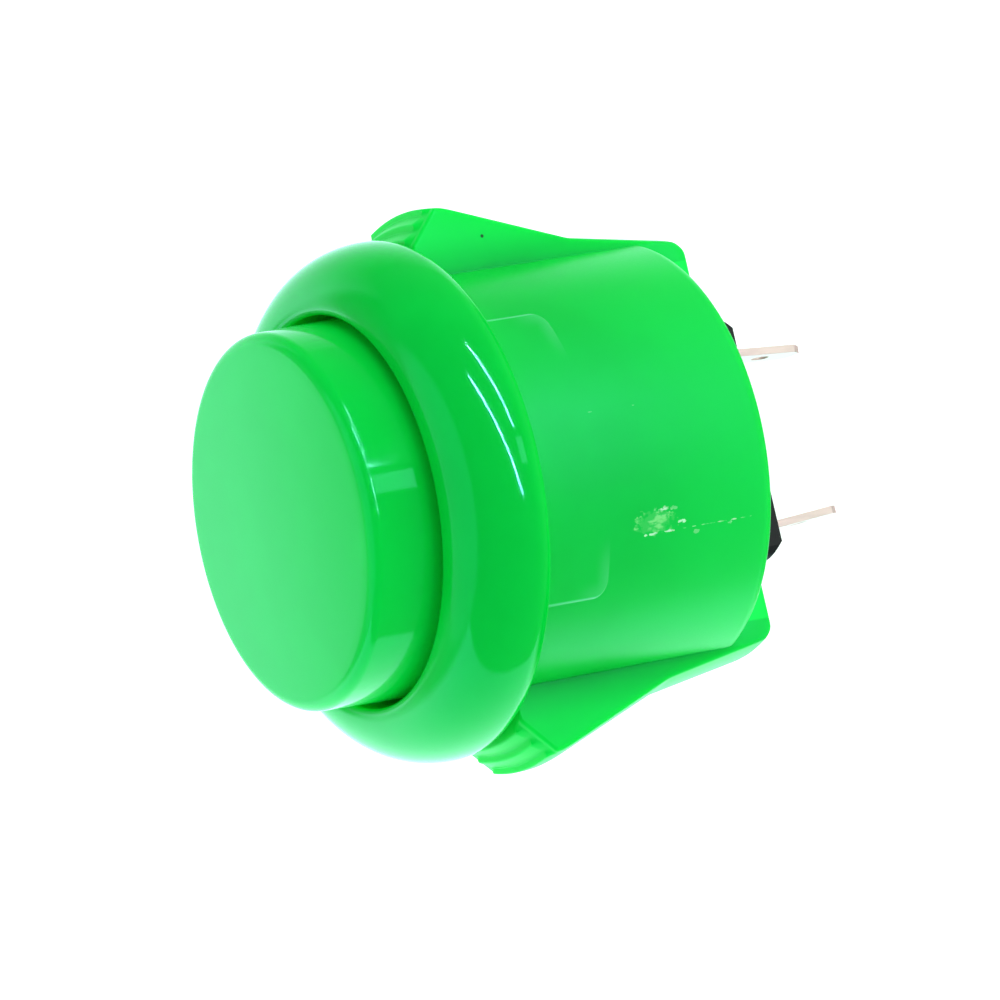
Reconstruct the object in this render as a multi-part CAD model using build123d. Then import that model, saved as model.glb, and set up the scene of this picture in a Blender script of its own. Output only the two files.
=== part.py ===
from build123d import *
import math
import os

# Snap-in arcade push button, in millimetres
# The panel plane is z = 0, the finger pushes from +Z, and the two snap wings are at +Y and -Y

# Rim
RIM_RADIUS = 16.7
RIM_EDGE_HEIGHT = 1.3       # height of the widest circle above the panel
RIM_EDGE_ROUND = 0.9        # radial size of the rounding under the widest circle
RIM_CREST_RADIUS = 13.1
RIM_CREST_HEIGHT = 5.9
BORE_RADIUS = 12.55
BORE_MOUTH_HEIGHT = 5.4     # where the crest has rounded over into the bore

# Barrel
BARREL_RADIUS = 14.1
BARREL_DEPTH = 17.8         # from the panel plane to the rear edge
BARREL_REAR_ROUND = 1.0
FLOOR_THICKNESS = 2.0
EMBED = 0.25                # how far one form of a moulding reaches into the next

# Flatter pads on the barrel's two sides beside the rim, which stand proud at their edges
PAD_SPAN = 18.2             # along Y, from edge to edge
PAD_DEPTH = 5.4
PAD_FLATNESS = 1.1          # by how much a pad's radius is larger than the barrel's
PAD_SINK = 0.03             # how far the middle of a pad lies under the barrel's skin
PAD_CORNER = 0.9

# Snap wings
WING_WIDTH = 9.0
WING_GAP = 0.3              # to the barrel on each side
WING_BACK_GAP = 0.6         # behind the wing, to the inner wall of its slot
WING_INNER_RADIUS = 12.8
WING_TIP_RADIUS = 18.2
WING_END_DEPTH = 1.0        # the end that faces the rim
WING_END_CHAMFER = 0.9      # at the inner side of that end
WING_SHOULDER_DROP = 0.4    # from the tip's radius in to the shoulder's
WING_SHOULDER_DEPTH = 4.8
WING_KINK_RADIUS = 15.1
WING_KINK_DEPTH = 12.4
WING_ROOT_RADIUS = 13.9
WING_ROOT_BEHIND = 2.2      # behind the barrel's rear edge
WING_HEEL = 0.6             # slope at the back of the root
WING_ROOT_CLEARANCE = 0.15  # root to the switch's flange, behind the floor

# Steps across the sloping end of each wing, which grip the back of the panel
STEPS = 2
STEP_HEIGHT = 0.87
STEP_TREAD = 0.45
STEP_SLANT = 0.45           # how far each step's riser leans out
STEPS_WIDTH = 7.3

# Plunger
PLUNGER_HEIGHT = 10.3       # face above the panel
PLUNGER_FACE_RADIUS = 12.05
PLUNGER_EDGE_ROUND = 0.8
PLUNGER_CROWN = 0.12        # rise of the face at its middle
PLUNGER_WALL = 1.6
SKIRT_CLEARANCE = 0.3       # skirt to bore
SKIRT_TOP = 2.0             # the side slopes out down to here, where the straight skirt starts
TRAVEL = 2.8
STOP_CLEARANCE = 0.1        # skirt to stop ledge when pushed home
PUSHER_RIB = 1.4
PUSHER_SPAN = 6.4

# Stop ledges in the bore, and the legs that hook under them
LEDGE_TOP_DEPTH = 6.0
LEDGE_THICKNESS = 1.5
LEDGE_REACH = 1.1           # inwards from the bore
LEDGE_HALF_ANGLE = 24.0
LEG_WIDTH = 6.0
LEG_THICKNESS = 1.3
LEG_CLEARANCE = 0.25        # leg to ledge, and hook to bore
HOOK_GAP = 0.05             # hook to ledge at rest
HOOK_HEIGHT = 0.7
HOOK_TAPER = 1.5

# Switch body
SWITCH_WIDTH = 8.0          # along X
SWITCH_LENGTH = 16.2        # along Y
SWITCH_WALL = 1.0
SWITCH_BEHIND = 5.3         # behind the barrel's rear edge
SWITCH_ABOVE_FLOOR = 8.3    # top of the cover above the housing's floor
SWITCH_CORNER = 0.8
SWITCH_CLEARANCE = 0.15     # to the window in the housing's floor
BASE_FLOOR = 2.2
BASE_REAR_CHAMFER = 1.0     # along the two short edges of the rear face
SHOULDER_ABOVE_FLOOR = 0.9  # where the cover sits down on the base
TONGUE_HEIGHT = 1.5
TONGUE_CLEARANCE = 0.05
COVER_ROOF = 1.2
FLANGE_REACH = 0.9          # rim of the base behind the housing's floor
FLANGE_THICKNESS = 1.2
LUG_REACH = 0.7             # snap lugs above the housing's floor
LUG_WIDTH = 4.0
LUG_HEIGHT = 0.8
LUG_CLEARANCE = 0.1
TONGUE_CORNER = 0.4
COVER_CHAMFER = 0.4

# Switch actuator
STEM_RADIUS = 2.0
STEM_CHAMFER = 0.4
STEM_CLEARANCE = 0.06
STEM_ABOVE_COVER = 3.5
PUSH_GAP = 0.05             # pusher to stem at rest
CARRIAGE_WIDTH = 4.8
CARRIAGE_LENGTH = 5.2
CARRIAGE_HEIGHT = 5.0
CARRIAGE_GAP = 0.1          # carriage to roof at rest
WINDOW_SIDE = 0.7           # carriage wall beside the bridge's window
WINDOW_FLOOR = 0.8

# Contacts
BRIDGE_LENGTH = 11.6
BRIDGE_WIDTH = 2.8
BRIDGE_THICKNESS = 0.4
BRIDGE_CORNER = 0.7
CONTACT_Y = 4.6
CONTACT_RADIUS = 0.9
CONTACT_HEIGHT = 0.6
CONTACT_CHAMFER = 0.2
CONTACT_SHANK = 0.5
CONTACT_PEEN_RADIUS = 0.75
CONTACT_PEEN_HEIGHT = 0.2
PEEN_ROOM = 0.4             # hollow in the base under each peened end
SHANK_CLEARANCE = 0.02
CONTACT_TRAVEL = 2.0        # of the bridge until the contacts meet
CLOSED_GAP = 0.02

# Terminals
TERMINAL_WIDTH = 2.8
TERMINAL_THICKNESS = 0.5
TERMINAL_Y = 6.1            # outer face of the blade
TERMINAL_LENGTH = 6.6       # of the free blade behind the switch
TERMINAL_LEAN = 4.0         # degrees that the free blade leans in
TERMINAL_TAB_INNER = 3.5    # inner end of the tab under the contact
TERMINAL_BEND = 0.2         # inner radius
TERMINAL_STUB = 0.15        # straight length behind the base, before the lean
TERMINAL_POINT = 0.7        # chamfer at the free end
TERMINAL_CLEARANCE = 0.03
TERMINAL_HOLE_RADIUS = 0.6
TERMINAL_HOLE_FROM_END = 2.6
PILLAR_GAP = 0.4            # pillar to carriage

# Springs
RETURN_SPRING_RADIUS = 1.7
RETURN_SPRING_WIRE = 0.32
RETURN_SPRING_TURNS = 5.5
CONTACT_SPRING_RADIUS = 0.8
CONTACT_SPRING_WIRE = 0.2
CONTACT_SPRING_TURNS = 4.5
SPIGOT_CLEARANCE = 0.2
SPIGOT_HEIGHT = 1.4

# Heights that follow from the sizes above
floor_top = -BARREL_DEPTH + FLOOR_THICKNESS
skirt_bottom = -LEDGE_TOP_DEPTH + TRAVEL + STOP_CLEARANCE
ledge_bottom = -LEDGE_TOP_DEPTH - LEDGE_THICKNESS
ledge_radius = BORE_RADIUS - LEDGE_REACH
step_run = STEP_TREAD + STEP_SLANT
steps_start = WING_TIP_RADIUS - STEPS * step_run
slope_end_z = -WING_END_DEPTH - STEPS * STEP_HEIGHT - STEP_TREAD * STEP_HEIGHT / step_run
root_inner = math.hypot(SWITCH_LENGTH / 2 + FLANGE_REACH, WING_WIDTH / 2) + WING_ROOT_CLEARANCE
cover_top = floor_top + SWITCH_ABOVE_FLOOR
roof_bottom = cover_top - COVER_ROOF
stem_top = cover_top + STEM_ABOVE_COVER
carriage_top = roof_bottom - CARRIAGE_GAP
carriage_bottom = carriage_top - CARRIAGE_HEIGHT
window_bottom = carriage_bottom + WINDOW_FLOOR
bridge_top = window_bottom + BRIDGE_THICKNESS
window_top = carriage_top - WINDOW_FLOOR
moving_face = window_bottom - CONTACT_HEIGHT
fixed_face = moving_face - CONTACT_TRAVEL - CLOSED_GAP
tab_top = fixed_face - CONTACT_HEIGHT
tab_bottom = tab_top - TERMINAL_THICKNESS
base_bottom = -BARREL_DEPTH - SWITCH_BEHIND
cavity_bottom = base_bottom + BASE_FLOOR
shoulder = floor_top + SHOULDER_ABOVE_FLOOR
cavity_width = SWITCH_WIDTH - 2 * SWITCH_WALL
cavity_length = SWITCH_LENGTH - 2 * SWITCH_WALL
tongue_width = SWITCH_WIDTH - SWITCH_WALL
tongue_length = SWITCH_LENGTH - SWITCH_WALL


def slab(width, length, low, high, x=0.0, y=0.0):
    """Upright block between two heights, centred on x and y."""
    return Pos(x, y, (low + high) / 2) * Box(width, length, high - low)


def column(radius, low, high, x=0.0, y=0.0):
    """Upright cylinder between two heights."""
    return Pos(x, y, (low + high) / 2) * Cylinder(radius, high - low)


def rounded_slab(width, length, low, high, corner):
    """Upright block with rounded corners."""
    return extrude(Pos(0, 0, low) * RectangleRounded(width, length, corner), high - low)


def on_side(side, shape):
    """The shape where it is for side 1, and turned half round about Z for side -1."""
    return Rot(0, 0, 90 - 90 * side) * shape


def turned(lines):
    """Solid turned about Z from an outline in the XZ plane."""
    outline = Plane.XZ * make_face(lines)
    return revolve(outline, Axis.Z)


def ellipse_quarter(centre_r, centre_z, size_r, size_z, start):
    """Quarter of an ellipse in the outline's own (r, z) plane, anticlockwise from the start angle."""
    return EllipticalCenterArc((centre_r, centre_z), size_r, size_z, start, arc_size=90)


def rim_and_barrel():
    edge_r = RIM_RADIUS - RIM_EDGE_ROUND
    under_edge = ellipse_quarter(edge_r, RIM_EDGE_HEIGHT, RIM_EDGE_ROUND, RIM_EDGE_HEIGHT, -90)
    dome = ellipse_quarter(RIM_CREST_RADIUS, RIM_EDGE_HEIGHT, RIM_RADIUS - RIM_CREST_RADIUS,
                           RIM_CREST_HEIGHT - RIM_EDGE_HEIGHT, 0)
    lip = ellipse_quarter(RIM_CREST_RADIUS, BORE_MOUTH_HEIGHT, RIM_CREST_RADIUS - BORE_RADIUS,
                          RIM_CREST_HEIGHT - BORE_MOUTH_HEIGHT, 90)
    heel_r = BARREL_RADIUS - BARREL_REAR_ROUND
    heel_z = -BARREL_DEPTH + BARREL_REAR_ROUND
    heel = CenterArc((heel_r, heel_z), BARREL_REAR_ROUND, -90, 90)
    walls = Polyline((BORE_RADIUS, BORE_MOUTH_HEIGHT), (BORE_RADIUS, floor_top), (0, floor_top),
                     (0, -BARREL_DEPTH), (heel_r, -BARREL_DEPTH))
    side = Polyline((BARREL_RADIUS, heel_z), (BARREL_RADIUS, 0), (edge_r, 0))
    return turned([under_edge, dome, lip, walls, heel, side])


def barrel_pad():
    """Flatter stretch of the barrel's side at +X, down from the rim."""
    bulge = column(BARREL_RADIUS + PAD_FLATNESS - PAD_SINK, -PAD_DEPTH, 0, x=-PAD_FLATNESS)
    core = column(BARREL_RADIUS - EMBED, -PAD_DEPTH, 0)
    height = PAD_DEPTH + RIM_CREST_HEIGHT
    face = Pos(0, -PAD_DEPTH + height / 2) * RectangleRounded(PAD_SPAN, height, PAD_CORNER)
    return (bulge - core) & extrude(Plane.YZ * face, RIM_RADIUS)


def wing_outline():
    """Outline of a wing and its root in (r, z), with a plain slope under the steps."""
    tip = (WING_TIP_RADIUS, slope_end_z)
    outer_shoulder = (WING_TIP_RADIUS - WING_SHOULDER_DROP, -WING_SHOULDER_DEPTH)
    kink = (WING_KINK_RADIUS, -WING_KINK_DEPTH)
    slope = (kink[0] - outer_shoulder[0], kink[1] - outer_shoulder[1])
    root_z = -BARREL_DEPTH - WING_ROOT_BEHIND
    inner_r = WING_INNER_RADIUS
    front = Polyline((inner_r, -BARREL_DEPTH), (inner_r, -WING_END_DEPTH - WING_END_CHAMFER),
                     (inner_r + WING_END_CHAMFER, -WING_END_DEPTH),
                     (steps_start - STEP_TREAD, -WING_END_DEPTH), tip)
    cheek = Spline(tip, outer_shoulder, tangents=[(0, -1), slope])
    back = Polyline(outer_shoulder, kink, (WING_ROOT_RADIUS, root_z),
                    (WING_ROOT_RADIUS - WING_HEEL, root_z - WING_HEEL), (root_inner, root_z - WING_HEEL),
                    (root_inner, -BARREL_DEPTH), (inner_r, -BARREL_DEPTH))
    return [front, cheek, back]


def steps_outline():
    """Outline of the steps in (r, z), let into the wing under its slope."""
    points = [(steps_start - STEP_TREAD - EMBED, -WING_END_DEPTH - EMBED),
              (steps_start - STEP_TREAD, -WING_END_DEPTH)]
    for i in range(STEPS):
        edge_r = steps_start + i * step_run
        top = -WING_END_DEPTH - i * STEP_HEIGHT
        points += [(edge_r, top), (edge_r + STEP_SLANT, top - STEP_HEIGHT)]
    points += [(WING_TIP_RADIUS, -WING_END_DEPTH - STEPS * STEP_HEIGHT), (WING_TIP_RADIUS, slope_end_z),
               (WING_TIP_RADIUS - EMBED, slope_end_z - EMBED)]
    return [Polyline(*points, close=True)]


def wing_strip(outline, width):
    """Part of a turned outline at +Y, within a width."""
    keep = slab(width, 2 * WING_TIP_RADIUS, base_bottom, 0, y=WING_TIP_RADIUS + WING_GAP)
    return turned(outline) & keep


def wing():
    """One snap wing, at +Y, with the steps on its end."""
    return wing_strip(wing_outline(), WING_WIDTH) + wing_strip(steps_outline(), STEPS_WIDTH)


def arc_block(inner, outer, half_angle, low, high):
    """Piece of a ring about +X, between two heights."""
    ring = column(outer, low, high) - column(inner, low, high)
    reach = 2 * outer
    side = reach * math.tan(math.radians(half_angle))
    wedge = Polygon((0, 0), (reach, -side), (reach, side), align=None)
    return ring & extrude(Pos(0, 0, low) * wedge, high - low)


def stop_ledge():
    """Arc of ledge at +X that the leg's hook catches under, let into the barrel's wall."""
    return arc_block(ledge_radius, BORE_RADIUS + EMBED, LEDGE_HALF_ANGLE, ledge_bottom, -LEDGE_TOP_DEPTH)


def core_hole():
    """Slot in the floor at +X, right under the stop ledge."""
    inner = ledge_radius - LEG_THICKNESS
    return arc_block(inner, BORE_RADIUS - LEG_CLEARANCE, LEDGE_HALF_ANGLE, -BARREL_DEPTH, floor_top)


def switch_window():
    return rounded_slab(SWITCH_WIDTH + 2 * SWITCH_CLEARANCE, SWITCH_LENGTH + 2 * SWITCH_CLEARANCE,
                        -BARREL_DEPTH, floor_top, SWITCH_CORNER)


def wing_slot():
    """Opening in the barrel at +Y that the wing stands in."""
    reach = BARREL_RADIUS + EMBED
    block = slab(WING_WIDTH + 2 * WING_GAP, reach, -BARREL_DEPTH, 0, y=reach / 2)
    return block - column(WING_INNER_RADIUS - WING_BACK_GAP, -BARREL_DEPTH, 0)


def housing():
    shell = rim_and_barrel() - switch_window()
    for side in (1, -1):
        shell += on_side(side, barrel_pad())
        shell -= on_side(side, wing_slot())
        shell += on_side(side, wing())
        shell += on_side(side, stop_ledge())
        shell -= on_side(side, core_hole())
    return shell


def plunger_cap():
    """Hollow cap and skirt."""
    top_r = PLUNGER_FACE_RADIUS
    edge_z = PLUNGER_HEIGHT - PLUNGER_EDGE_ROUND
    skirt_r = BORE_RADIUS - SKIRT_CLEARANCE
    edge_r = top_r - PLUNGER_EDGE_ROUND
    middle = (0, PLUNGER_HEIGHT + PLUNGER_CROWN)
    crown = TangentArc(middle, (edge_r, PLUNGER_HEIGHT), tangent=(1, 0))
    edge = CenterArc((edge_r, edge_z), PLUNGER_EDGE_ROUND, 0, 90)
    inner_r = top_r - PLUNGER_WALL
    roof = PLUNGER_HEIGHT - PLUNGER_WALL
    walls = Polyline((top_r, edge_z), (skirt_r, SKIRT_TOP), (skirt_r, skirt_bottom), (inner_r, skirt_bottom),
                     (inner_r, roof), (0, roof), middle)
    return turned([crown, edge, walls])


def plunger_leg():
    """Hooked leg at +X."""
    outer = ledge_radius - LEG_CLEARANCE
    inner = outer - LEG_THICKNESS
    hook_r = BORE_RADIUS - LEG_CLEARANCE
    hook_top = ledge_bottom - HOOK_GAP
    hook_low = hook_top - HOOK_HEIGHT
    end = hook_low - HOOK_TAPER
    root = SKIRT_TOP
    outline = Polyline((inner, root), (outer, root), (outer, hook_top), (hook_r, hook_top),
                       (hook_r, hook_low), (outer, end), (inner, end), close=True)
    ring = turned([outline])
    return ring & slab(BORE_RADIUS, LEG_WIDTH, end, root, x=(BORE_RADIUS + inner) / 2)


def plunger():
    body = plunger_cap()
    pusher_bottom = stem_top + PUSH_GAP
    roof = PLUNGER_HEIGHT - PLUNGER_WALL
    body += slab(PUSHER_SPAN, PUSHER_RIB, pusher_bottom, roof)
    body += slab(PUSHER_RIB, PUSHER_SPAN, pusher_bottom, roof)
    for side in (1, -1):
        body += on_side(side, plunger_leg())
    return body


def switch_base():
    body = rounded_slab(SWITCH_WIDTH, SWITCH_LENGTH, base_bottom, shoulder, SWITCH_CORNER)
    body += rounded_slab(tongue_width, tongue_length, shoulder, shoulder + TONGUE_HEIGHT, TONGUE_CORNER)
    flange_top = -BARREL_DEPTH
    body += rounded_slab(SWITCH_WIDTH + 2 * FLANGE_REACH, SWITCH_LENGTH + 2 * FLANGE_REACH,
                         flange_top - FLANGE_THICKNESS, flange_top, SWITCH_CORNER)
    # Room for the mechanism, with a pillar under each terminal's tab
    body -= slab(cavity_width, cavity_length, cavity_bottom, shoulder + TONGUE_HEIGHT)
    pillar_inner = CARRIAGE_LENGTH / 2 + PILLAR_GAP
    pillar_outer = TERMINAL_Y - TERMINAL_THICKNESS - TERMINAL_BEND
    for side in (1, -1):
        body += slab(cavity_width, pillar_outer - pillar_inner, cavity_bottom, tab_bottom,
                     y=side * (pillar_inner + pillar_outer) / 2)
        slot_width = TERMINAL_WIDTH + 2 * TERMINAL_CLEARANCE
        slot_thickness = TERMINAL_THICKNESS + 2 * TERMINAL_CLEARANCE
        slot_y = side * (TERMINAL_Y - TERMINAL_THICKNESS / 2)
        body -= slab(slot_width, slot_thickness, base_bottom, cavity_bottom, y=slot_y)
        room_radius = CONTACT_PEEN_RADIUS + SHANK_CLEARANCE
        body -= column(room_radius, tab_bottom - PEEN_ROOM, tab_bottom, y=side * CONTACT_Y)
        body += on_side(side, snap_lug())
        body -= on_side(side, rear_wedge())
    spigot_radius = RETURN_SPRING_RADIUS - RETURN_SPRING_WIRE / 2 - SPIGOT_CLEARANCE
    body += column(spigot_radius, cavity_bottom, cavity_bottom + SPIGOT_HEIGHT)
    return body


def rear_wedge():
    """What the chamfer takes off the base's rear edge at +Y."""
    end = SWITCH_LENGTH / 2
    profile = Polygon((end - BASE_REAR_CHAMFER, base_bottom), (end, base_bottom),
                      (end, base_bottom + BASE_REAR_CHAMFER), align=None)
    return Pos(-SWITCH_WIDTH / 2, 0, 0) * extrude(Plane.YZ * profile, SWITCH_WIDTH)


def snap_lug():
    """Wedge on the +Y end of the base, just above the housing's floor."""
    low = floor_top + LUG_CLEARANCE
    end = SWITCH_LENGTH / 2
    profile = Polygon((end - EMBED, low), (end + LUG_REACH, low), (end, low + LUG_HEIGHT),
                      (end - EMBED, low + LUG_HEIGHT), align=None)
    return Pos(-LUG_WIDTH / 2, 0, 0) * extrude(Plane.YZ * profile, LUG_WIDTH)


def switch_cover():
    body = rounded_slab(SWITCH_WIDTH, SWITCH_LENGTH, shoulder, cover_top, SWITCH_CORNER)
    top_edges = body.edges().group_by(Axis.Z)[-1]
    body = chamfer(top_edges, COVER_CHAMFER)
    body -= slab(cavity_width, cavity_length, shoulder, roof_bottom)
    body -= rounded_slab(tongue_width + 2 * TONGUE_CLEARANCE, tongue_length + 2 * TONGUE_CLEARANCE, shoulder,
                         shoulder + TONGUE_HEIGHT + TONGUE_CLEARANCE, TONGUE_CORNER)
    body -= column(STEM_RADIUS + STEM_CLEARANCE, roof_bottom, cover_top)
    return body


def switch_actuator():
    stem = column(STEM_RADIUS, carriage_top, stem_top)
    stem = chamfer(stem.edges().group_by(Axis.Z)[-1], STEM_CHAMFER)
    body = stem + slab(CARRIAGE_WIDTH, CARRIAGE_LENGTH, carriage_bottom, carriage_top)
    body -= slab(CARRIAGE_WIDTH - 2 * WINDOW_SIDE, CARRIAGE_LENGTH, window_bottom, window_top)
    return body


def coil(radius, wire, turns, low, high):
    """Helical spring between two seats, with its wire just inside them."""
    start = low + wire / 2
    rise = high - low - wire
    path = Pos(0, 0, start) * Helix(rise / turns, rise, radius)
    section = Plane(path @ 0, z_dir=path % 0) * Circle(wire / 2)
    return sweep(section, path)


def return_spring():
    return coil(RETURN_SPRING_RADIUS, RETURN_SPRING_WIRE, RETURN_SPRING_TURNS, cavity_bottom, carriage_bottom)


def contact_spring():
    return coil(CONTACT_SPRING_RADIUS, CONTACT_SPRING_WIRE, CONTACT_SPRING_TURNS, bridge_top, window_top)


def contact_bridge():
    strip = slab(BRIDGE_WIDTH, BRIDGE_LENGTH, window_bottom, bridge_top)
    strip = fillet(strip.edges().filter_by(Axis.Z), BRIDGE_CORNER)
    for side in (1, -1):
        strip -= column(CONTACT_SHANK + SHANK_CLEARANCE, window_bottom, bridge_top, y=side * CONTACT_Y)
    return strip


def rivet(side, face, seat, peen):
    """Contact rivet: head from its face to its seat, shank through the strip, peened over behind."""
    head = column(CONTACT_RADIUS, min(face, seat), max(face, seat), y=side * CONTACT_Y)
    face_edge = head.edges().sort_by(Axis.Z)[0 if face < seat else -1]
    head = chamfer(face_edge, CONTACT_CHAMFER)
    tail = peen - CONTACT_PEEN_HEIGHT if peen < seat else peen + CONTACT_PEEN_HEIGHT
    shank = column(CONTACT_SHANK, min(seat, tail), max(seat, tail), y=side * CONTACT_Y)
    cap = column(CONTACT_PEEN_RADIUS, min(peen, tail), max(peen, tail), y=side * CONTACT_Y)
    return head + shank + cap


def moving_contact(side):
    return rivet(side, moving_face, window_bottom, bridge_top)


def fixed_contact(side):
    return rivet(side, fixed_face, tab_top, tab_bottom)


def terminal_upright():
    """Blade at +Y that comes up through the base and bends in to a tab."""
    outer = TERMINAL_Y
    inner = TERMINAL_Y - TERMINAL_THICKNESS
    outline = Polygon((inner, base_bottom - TERMINAL_STUB), (outer, base_bottom - TERMINAL_STUB),
                      (outer, tab_top), (TERMINAL_TAB_INNER, tab_top), (TERMINAL_TAB_INNER, tab_bottom),
                      (inner, tab_bottom), align=None)
    strip = Pos(-TERMINAL_WIDTH / 2, 0, 0) * extrude(Plane.YZ * outline, TERMINAL_WIDTH)
    outer_corner = strip.edges().filter_by(Axis.X).sort_by_distance((0, outer, tab_top))[0]
    strip = fillet(outer_corner, TERMINAL_BEND + TERMINAL_THICKNESS)
    inner_corner = strip.edges().filter_by(Axis.X).sort_by_distance((0, inner, tab_bottom))[0]
    strip = fillet(inner_corner, TERMINAL_BEND)
    return strip - column(CONTACT_SHANK + SHANK_CLEARANCE, tab_bottom, tab_top, y=CONTACT_Y)


def terminal_blade():
    """Free end of the blade at +Y, leaning in, with its hole and its chamfered point."""
    blade = slab(TERMINAL_WIDTH, TERMINAL_THICKNESS, -TERMINAL_LENGTH, 0)
    point = blade.edges().group_by(Axis.Z)[0].filter_by(Axis.Y)
    blade = chamfer(point, TERMINAL_POINT)
    hole = extrude(Plane.XZ * Circle(TERMINAL_HOLE_RADIUS), TERMINAL_THICKNESS, both=True)
    blade -= Pos(0, 0, TERMINAL_HOLE_FROM_END - TERMINAL_LENGTH) * hole
    return Pos(0, TERMINAL_Y - TERMINAL_THICKNESS / 2, base_bottom) * Rot(-TERMINAL_LEAN, 0, 0) * blade


def terminal(side):
    return on_side(side, terminal_upright() + terminal_blade())


def main():
    os.makedirs("parts", exist_ok=True)
    nodes = {
        "housing": housing(),
        "plunger": plunger(),
        "switch_base": switch_base(),
        "switch_cover": switch_cover(),
        "switch_actuator": switch_actuator(),
        "return_spring": return_spring(),
        "contact_bridge": contact_bridge(),
        "contact_spring": contact_spring(),
        "moving_contact_1": moving_contact(1),
        "moving_contact_2": moving_contact(-1),
        "fixed_contact_1": fixed_contact(1),
        "fixed_contact_2": fixed_contact(-1),
        "terminal_1": terminal(1),
        "terminal_2": terminal(-1),
    }
    for name, shape in nodes.items():
        export_step(shape, f"parts/{name}.step")


main()
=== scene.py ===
import math

import bmesh
import bpy
from mathutils import Matrix, Vector

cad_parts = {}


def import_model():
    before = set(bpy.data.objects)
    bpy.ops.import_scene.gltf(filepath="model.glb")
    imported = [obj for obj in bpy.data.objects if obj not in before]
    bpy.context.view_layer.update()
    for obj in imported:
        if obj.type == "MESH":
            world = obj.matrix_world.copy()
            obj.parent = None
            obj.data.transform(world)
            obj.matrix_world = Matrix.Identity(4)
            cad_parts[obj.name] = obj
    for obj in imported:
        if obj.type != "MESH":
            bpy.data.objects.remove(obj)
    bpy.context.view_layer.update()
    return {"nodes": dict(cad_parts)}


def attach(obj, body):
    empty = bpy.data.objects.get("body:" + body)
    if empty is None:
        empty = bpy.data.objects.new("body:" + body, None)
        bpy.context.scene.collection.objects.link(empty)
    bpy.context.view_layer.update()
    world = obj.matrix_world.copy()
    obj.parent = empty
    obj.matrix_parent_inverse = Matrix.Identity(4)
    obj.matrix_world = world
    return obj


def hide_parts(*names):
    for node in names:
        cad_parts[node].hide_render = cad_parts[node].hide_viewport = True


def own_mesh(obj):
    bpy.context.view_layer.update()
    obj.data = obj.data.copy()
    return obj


# Arcade push button: the looks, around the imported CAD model
# Sizes are in millimetres, as in the part's source, and become metres where a mesh is made

MM = 0.001

# Rim and barrel
RIM_RADIUS = 16.7
RIM_EDGE_HEIGHT = 1.3
RIM_EDGE_ROUND = 0.9
RIM_CREST_RADIUS = 13.1
RIM_CREST_HEIGHT = 5.9
BORE_RADIUS = 12.55
BORE_MOUTH_HEIGHT = 5.4
BARREL_RADIUS = 14.1
BARREL_DEPTH = 17.8
BARREL_REAR_ROUND = 1.0
BARREL_SIDES = 240
FLOOR_TOP = -15.8
OVERLAP = 0.25              # how far joined forms reach into each other
OVERCUT = 0.5               # how far a cutter stands out of what it cuts

# Flatter pads on the barrel's two sides beside the rim
PAD_SPAN = 18.2
PAD_DEPTH = 5.4
PAD_FLATNESS = 1.1
PAD_SINK = 0.03
PAD_CORNER = 0.9
PAD_EDGE = 0.12             # width of the step round a pad
PAD_EDGE_STEPS = 26
PAD_TAPER = 0.12            # how much less a pad stands out at its rear edge
PAD_HIGHLIGHT_LINE = 0.1              # width of the painted highlight line along a pad's two sides
PAD_PAINTED_SHEEN = 1.1             # width of the painted sheen at its rear corners
PAD_PAINTED_SHEEN_REACH = 3.6       # how far from a pad's sides that painted sheen starts

# Snap wings
WING_WIDTH = 9.0
WING_GAP = 0.3
WING_BACK_GAP = 0.6
WING_INNER_RADIUS = 12.8
WING_TIP_RADIUS = 18.2
WING_END_DEPTH = 1.0
WING_END_CHAMFER = 0.9
WING_SHOULDER_RADIUS = 17.8
WING_SHOULDER_DEPTH = 4.8
WING_KINK_RADIUS = 15.1
WING_KINK_DEPTH = 12.4
WING_ROOT_RADIUS = 13.9
WING_ROOT_DEPTH = 20.0
WING_HEEL = 0.6
WING_ROOT_INNER = 10.21
WING_EDGE_ROUND = 0.2
WING_CORNER_ROUND = 0.35
LONGEST_ROUND = 0.4         # share of an edge that the round at one of its ends may take
SLOT_TOP = -0.02            # just under the rim
STEPS = 2
STEP_HEIGHT = 0.87
STEP_TREAD = 0.45
STEP_SLANT = 0.45
STEP_RUN = STEP_TREAD + STEP_SLANT
STEPS_START = WING_TIP_RADIUS - STEPS * STEP_RUN
STEPS_WIDTH = 7.3
STEP_WALL = 0.35            # width of the slopes at the two ends of the steps
STEP_ROUND = 0.12

# Stop ledges, legs and switch window
LEDGE_RADIUS = 11.45
LEDGE_TOP = -6.0
LEDGE_BOTTOM = -7.5
LEDGE_HALF_ANGLE = 24.0
LEG_WIDTH = 6.0
LEG_THICKNESS = 1.3
LEG_CLEARANCE = 0.25
HOOK_GAP = 0.05
HOOK_HEIGHT = 0.7
HOOK_TAPER = 1.5
WINDOW_WIDTH = 8.3
WINDOW_LENGTH = 16.5
WINDOW_CORNER = 0.8

# Plunger
PLUNGER_HEIGHT = 10.3
PLUNGER_FACE_RADIUS = 12.05
PLUNGER_EDGE_ROUND = 0.8
PLUNGER_CROWN = 0.12
PLUNGER_WALL = 1.6
PLUNGER_SIDES = 256
SKIRT_RADIUS = 12.25
SKIRT_TOP = 2.0
SKIRT_BOTTOM = -3.1
PUSHER_RIB = 1.4
PUSHER_SPAN = 6.4
PUSHER_BOTTOM = -3.95

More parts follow.
